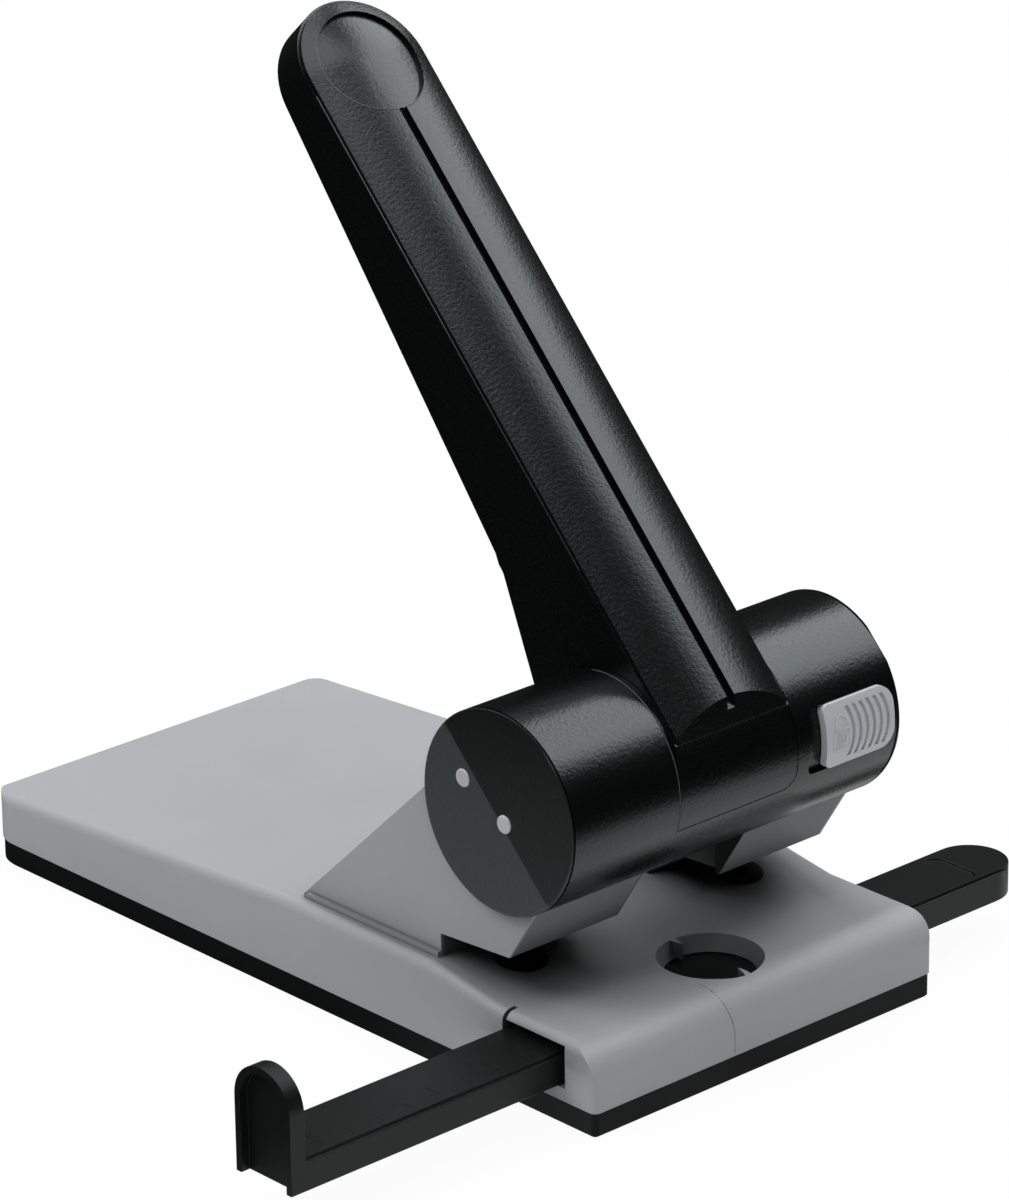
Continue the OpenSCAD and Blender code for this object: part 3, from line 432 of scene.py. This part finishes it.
def make_materials():
    """Materials by the names of the finishes, which include all of the record's slots."""
    made = {name: finish_material(name, **finish) for name, finish in FINISHES.items()}
    # Painted shade in the hollows of the grey paints
    for name in ("grey_paint", "tower_paint"):
        paint_shade_in_hollows(made[name], HOLLOW_DEPTH, "Z", HOLLOW_SPAN)
    paint_shade_on_towers(made["tower_paint"])
    # Painted light on the end caps
    paint_light_on_caps(made["cap_paint"])
    return made


# CAD nodes


def dress_nodes():
    """Gives every CAD node its material, and softened edges to those that show."""
    for part in frame["record"]["subparts"]:
        name = part["node"]
        node = nodes[name]
        node.data.materials.clear()
        node.data.materials.append(materials[NODE_FINISHES.get(name, part["material_slot"])])
        if name in SOFT_EDGES:
            soften(node, *SOFT_EDGES[name])


def soften(node, width, edge_angle):
    """Rounds a node's sharp edges by modifiers, which leave its own mesh as it is."""
    if "custom_normal" in node.data.attributes:
        node.data.attributes.remove(node.data.attributes["custom_normal"])
    node.data.shade_smooth()
    weld = node.modifiers.new("weld", "WELD")
    weld.merge_threshold = SAME_POINT
    flat = node.modifiers.new("flat_faces", "DECIMATE")
    flat.decimate_type = "DISSOLVE"
    flat.angle_limit = SAME_PLANE
    bevel = node.modifiers.new("edges", "BEVEL")
    bevel.width = width
    bevel.segments = EDGE_SEGMENTS
    bevel.limit_method = "ANGLE"
    bevel.angle_limit = math.radians(edge_angle)
    bevel.harden_normals = True
    node.modifiers.new("normals", "WEIGHTED_NORMAL").keep_sharp = True


def press_springs():
    """Gives each return spring a mesh of its own."""
    for side in ("left", "right"):
        spring, drop = f"{side}_spring", f"{side}_punch_drop"
        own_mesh(nodes[spring])


# Fine lines


def add_piece(name, shape, body, finish):
    """Adds a mesh, given as (vertices, faces), that moves with a body of the frame."""
    mesh = bpy.data.meshes.new(name)
    mesh.from_pydata(shape[0], [], shape[1])
    mesh.shade_smooth()
    mesh.materials.append(materials[finish])
    piece = bpy.data.objects.new(name, mesh)
    scene.collection.objects.link(piece)
    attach(piece, body)


def tube(path, radius, flat, sides=8):
    """Round line along a path; flat is a direction that the path never takes."""
    points = [Vector(p) for p in path]
    last = len(points) - 1
    vertices = []
    for i, point in enumerate(points):
        along = (points[min(i + 1, last)] - points[max(i - 1, 0)]).normalized()
        across = along.cross(Vector(flat)).normalized()
        out = across.cross(along)
        for k in range(sides):
            a = 2 * math.pi * k / sides
            vertices.append(point + (across * math.cos(a) + out * math.sin(a)) * radius)
    faces = [tuple(range(sides))[::-1], tuple(range(last * sides, (last + 1) * sides))]
    for i in range(last):
        for k in range(sides):
            n = (k + 1) % sides
            faces.append((i * sides + k, i * sides + n, (i + 1) * sides + n, (i + 1) * sides + k))
    return vertices, faces


def join_shapes(shapes):
    """One (vertices, faces) pair from several."""
    vertices, faces = [], []
    for points, polygons in shapes:
        start = len(vertices)
        vertices += points
        faces += [tuple(start + i for i in polygon) for polygon in polygons]
    return vertices, faces


def arc(centre, radius, start, end, steps):
    """Points of an arc in a plane, with angles in degrees."""
    angles = [math.radians(start + (end - start) * i / steps) for i in range(steps + 1)]
    return [(centre[0] + radius * math.cos(a), centre[1] + radius * math.sin(a)) for a in angles]


def nose_line():
    """Fine parting line over the rounded nose, left of the middle."""
    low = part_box("base_body")[0]
    front, foot = low[1], low[2]
    centre = (front + NOSE_R, DECK_Z - NOSE_R)
    sunk = LINE_R - LINE_PROUD
    over_nose = arc(centre, NOSE_R - sunk, 90, 180, NOSE_STEPS)
    side_view = [*over_nose, (front + sunk, foot + NOSE_LINE_END)]
    step = (NOSE_LINE_FOOT_X - NOSE_LINE_TOP_X) / (len(side_view) - 1)
    path = [(NOSE_LINE_TOP_X + step * i, y, z) for i, (y, z) in enumerate(side_view)]
    return tube(path, LINE_R, (1, 0, 0), LINE_SIDES)


def on_lever(node, x, s):
    """Point on the front of a piece of the lever, at a place across and along the lever."""
    start = Vector((x, 0, LEVER_AXIS_Z)) + LEVER_UP * s + LEVER_OUT * CAST_FROM
    to_world = nodes[node].matrix_world
    into = to_world.inverted()
    place = nodes[node].ray_cast(into @ start, into.to_3x3() @ -LEVER_OUT)[1]
    return to_world @ place


def dish_rim():
    """Fine painted highlight along the edge round the lower side of the thumb dish."""
    plan = arc((0, LEVER_LENGTH), RIM_R, *RIM_ARC, RIM_STEPS)
    return tube([on_lever("lever_cover", x, s) for x, s in plan], EDGE_HIGHLIGHT_R, LEVER_OUT)


def ledge_lines():
    """Fine painted highlights along the edges on both sides of the lever, beside its cover."""
    return join_shapes([
        tube([on_lever("lever_arm", x, s) for s in LEDGE_SPAN], EDGE_HIGHLIGHT_R, LEVER_OUT)
        for x in (-LEDGE_X, LEDGE_X)
    ])


def window_line():
    """Fine painted highlight along the edge of the barrel's window, left of the lever."""
    side_view = arc((0, LEVER_AXIS_Z), BARREL_R, *WINDOW_ARC, WINDOW_STEPS)
    return tube([(WINDOW_X, y, z) for y, z in side_view], EDGE_HIGHLIGHT_R, (1, 0, 0))


def rectangle(centre, width, height):
    """Closed path round a rectangle."""
    x0, x1 = centre[0] - width / 2, centre[0] + width / 2
    z0, z1 = centre[1] - height / 2, centre[1] + height / 2
    return [(x0, z0), (x1, z0), (x1, z1), (x0, z1), (x0, z0)]


def on_button_face(point):
    """Puts a point of the button's front view on its curved face."""
    x, z = point
    return x, -math.sqrt(BUTTON_FACE_R ** 2 - (z - LEVER_AXIS_Z) ** 2), z


def lock_sign():
    """Open padlock, raised on the left part of the lock button."""
    low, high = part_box("lock_button")
    x = low[0] + SIGN_IN
    z = (low[2] + high[2]) / 2 - SIGN_DROP
    top = z + PADLOCK_H / 2
    paths = [
        rectangle((x, z), PADLOCK_W, PADLOCK_H),
        rectangle((x, z), PADLOCK_W * PLATE_SHARE, PADLOCK_H * PLATE_SHARE),
        [(x - BOW_R, top), *arc((x, top + BOW_LEG), BOW_R, *BOW_ARC, BOW_STEPS)],
        [(x, z - KEYHOLE), (x, z + KEYHOLE)],
    ]
    lines = [line for path in paths for line in zip(path, path[1:])]
    return join_shapes([
        tube([on_button_face(a), on_button_face(b)], SIGN_R, (0, 1, 0)) for a, b in lines
    ])


def rail_ticks():
    """Faint scale across the top of the rail."""
    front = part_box("guide_rail")[0][1] + TICK_INSET
    shapes = []
    for i in range(FIRST_TICK, LAST_TICK + 1):
        x = i * TICK_STEP
        end = front + (TICK_SHORT if i % 2 else TICK_LONG)
        shapes.append(tube([(x, front, RAIL_TOP), (x, end, RAIL_TOP)], TICK_R, (0, 0, 1)))
    return join_shapes(shapes)


def add_fine_lines():
    """Lines and marks too fine for the frame."""
    add_piece("nose_line", nose_line(), "base", "dark_steel")
    # The dish rim, ledge and window pieces are painted highlights: light lines along edges
    add_piece("dish_rim", dish_rim(), "lever", "edge_paint")
    add_piece("ledge_lines", ledge_lines(), "lever", "edge_paint")
    add_piece("window_line", window_line(), "base", "edge_paint")
    add_piece("lock_sign", lock_sign(), "lock", "button_plastic")
    add_piece("rail_ticks", rail_ticks(), "rail", "rail_plastic")


# Floor and light


def mix_with_glow(tree_nodes, links, surface, share, strength=None):
    """Surface mixed with a white glow by a share; strength is an output, or 1 without it."""
    glow = tree_nodes.new("ShaderNodeEmission")
    if strength:
        links.new(strength, glow.inputs["Strength"])
    mix = tree_nodes.new("ShaderNodeMixShader")
    links.new(share, mix.inputs["Fac"])
    links.new(surface, mix.inputs[1])
    links.new(glow.outputs["Emission"], mix.inputs[2])
    return mix.outputs["Shader"]


def gloss_glow(tree_nodes, links):
    """Brightness of the floor in gloss, which fades round the spots."""
    place = tree_nodes.new("ShaderNodeTexCoord")
    near = tree_nodes.new("ShaderNodeMath")
    near.operation = "MAXIMUM"
    for socket, spot in zip(near.inputs, GLOSS_SPOTS):
        away = tree_nodes.new("ShaderNodeVectorMath")
        away.operation = "DISTANCE"
        away.inputs[1].default_value = spot
        links.new(place.outputs["Object"], away.inputs[0])
        faded = map_range(tree_nodes, links, away.outputs["Value"], GLOSS_FADE, FLOOR_IN_GLOSS)
        faded.node.interpolation_type = "SMOOTHSTEP"
        links.new(faded, socket)
    return near.outputs["Value"]


def make_floor():
    """Pale floor that the camera sees as white, with the object's soft shadow."""
    mesh = bpy.data.meshes.new("floor")
    corners = [(-1, -1), (1, -1), (1, 1), (-1, 1)]
    mesh.from_pydata([(x * FLOOR_SIZE, y * FLOOR_SIZE, 0) for x, y in corners], [], [(0, 1, 2, 3)])
    floor = bpy.data.objects.new("floor", mesh)
    scene.collection.objects.link(floor)
    material, tree_nodes, links, shader = new_material("floor")
    shader.inputs["Roughness"].default_value = FLOOR_ROUGHNESS
    shader.inputs["Specular IOR Level"].default_value = 0.0
    noise = object_noise(tree_nodes, links, FLOOR_NOISE_SCALE, FLOOR_NOISE_DETAIL)
    vary_colour(tree_nodes, links, shader, noise, FLOOR_COLOUR, FLOOR_SPREAD)
    path = tree_nodes.new("ShaderNodeLightPath")
    seen = map_range(tree_nodes, links, path.outputs["Is Camera Ray"], new=(0, FLOOR_WHITE))
    shown = mix_with_glow(tree_nodes, links, shader.outputs["BSDF"], seen)
    mirrored = mix_with_glow(
        tree_nodes, links, shown, path.outputs["Is Glossy Ray"], gloss_glow(tree_nodes, links))
    links.new(mirrored, tree_nodes["Material Output"].inputs["Surface"])
    mesh.materials.append(material)


def make_lights():
    """Soft studio light on the object."""
    for name, (place, width, height, power) in SOFTBOXES.items():
        data = bpy.data.lights.new(name, "AREA")
        data.shape = "RECTANGLE"
        data.size = width
        data.size_y = height
        data.energy = power
        lamp = bpy.data.objects.new(name, data)
        lamp.location = place
        lamp.rotation_euler = (LIGHT_AIM - Vector(place)).to_track_quat("-Z", "Y").to_euler()
        scene.collection.objects.link(lamp)


def make_world():
    """World that is white to the camera and dim to the object."""
    world = bpy.data.worlds.new("studio")
    scene.world = world
    world.use_nodes = True
    tree_nodes, links = world.node_tree.nodes, world.node_tree.links
    background = tree_nodes["Background"]
    background.inputs["Color"].default_value = (1, 1, 1, 1)
    path = tree_nodes.new("ShaderNodeLightPath")
    strength = map_range(
        tree_nodes, links, path.outputs["Is Camera Ray"], new=(WORLD_LIGHT, WORLD_SEEN))
    links.new(strength, background.inputs["Strength"])


make_camera()
materials = make_materials()
dress_nodes()
add_fine_lines()
press_springs()
make_floor()
make_lights()
make_world()
